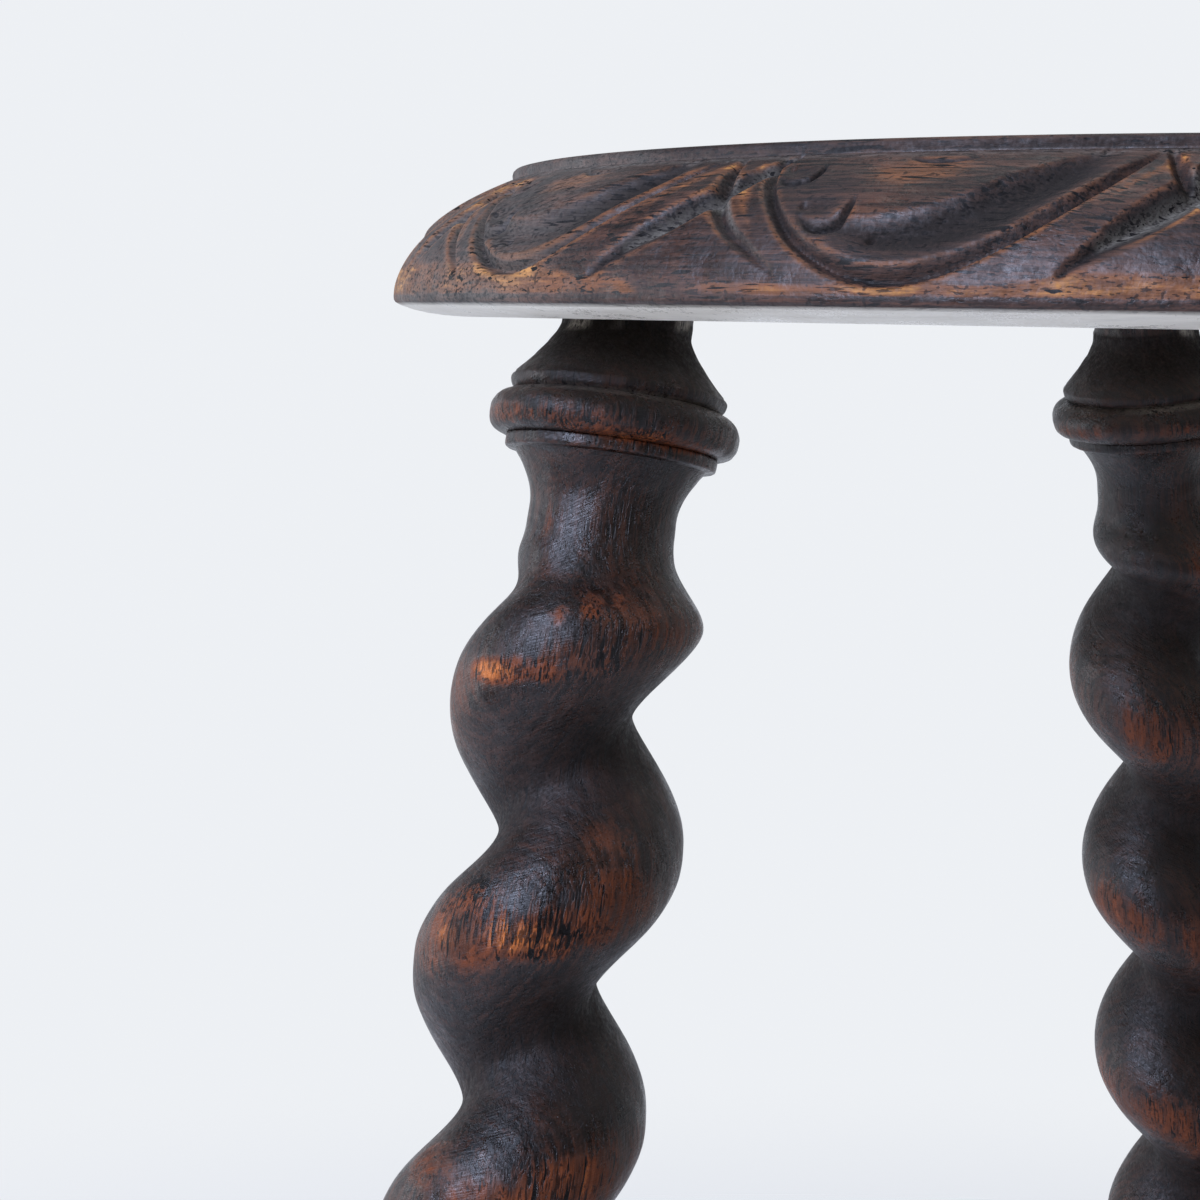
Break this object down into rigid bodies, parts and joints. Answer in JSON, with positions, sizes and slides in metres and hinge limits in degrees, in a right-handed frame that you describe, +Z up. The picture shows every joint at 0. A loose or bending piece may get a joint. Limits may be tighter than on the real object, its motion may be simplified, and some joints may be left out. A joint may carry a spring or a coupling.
{
  "type": "spindle stool",
  "caption": "Round oak stool with a leaf-carved rim, on splayed barley-twist legs joined by turned rails.",
  "frame": {"origin": "on the floor, under the centre of the seat", "axes": "+Z up; front is -Y; the board's grain runs along X; the legs lean apart along Y"},
  "size_m": [0.337, 0.372, 0.45],
  "materials": {
    "seat_oak": "dark stained oak, waxed, worn to warm brown along the carved edge",
    "leg_oak": "dark stained oak, waxed to a satin sheen, worn to orange brown on the crests",
    "pale_oak": "oak end grain, stained, a little paler than the rest"
  },
  "bodies": {
    "root": {"seat_board": "seat_oak", "leg_front_left": "leg_oak", "wedge_front_left": "pale_oak", "peg_front_rail_left": "pale_oak", "peg_left_rail_front": "pale_oak", "leg_front_right": "leg_oak", "wedge_front_right": "pale_oak", "peg_front_rail_right": "pale_oak", "peg_right_rail_front": "pale_oak", "leg_back_left": "leg_oak", "wedge_back_left": "pale_oak", "peg_back_rail_left": "pale_oak", "peg_left_rail_back": "pale_oak", "leg_back_right": "leg_oak", "wedge_back_right": "pale_oak", "peg_back_rail_right": "pale_oak", "peg_right_rail_back": "pale_oak", "rail_front": "leg_oak", "rail_back": "leg_oak", "rail_left": "leg_oak", "rail_right": "leg_oak"}
  },
  "joints": []
}
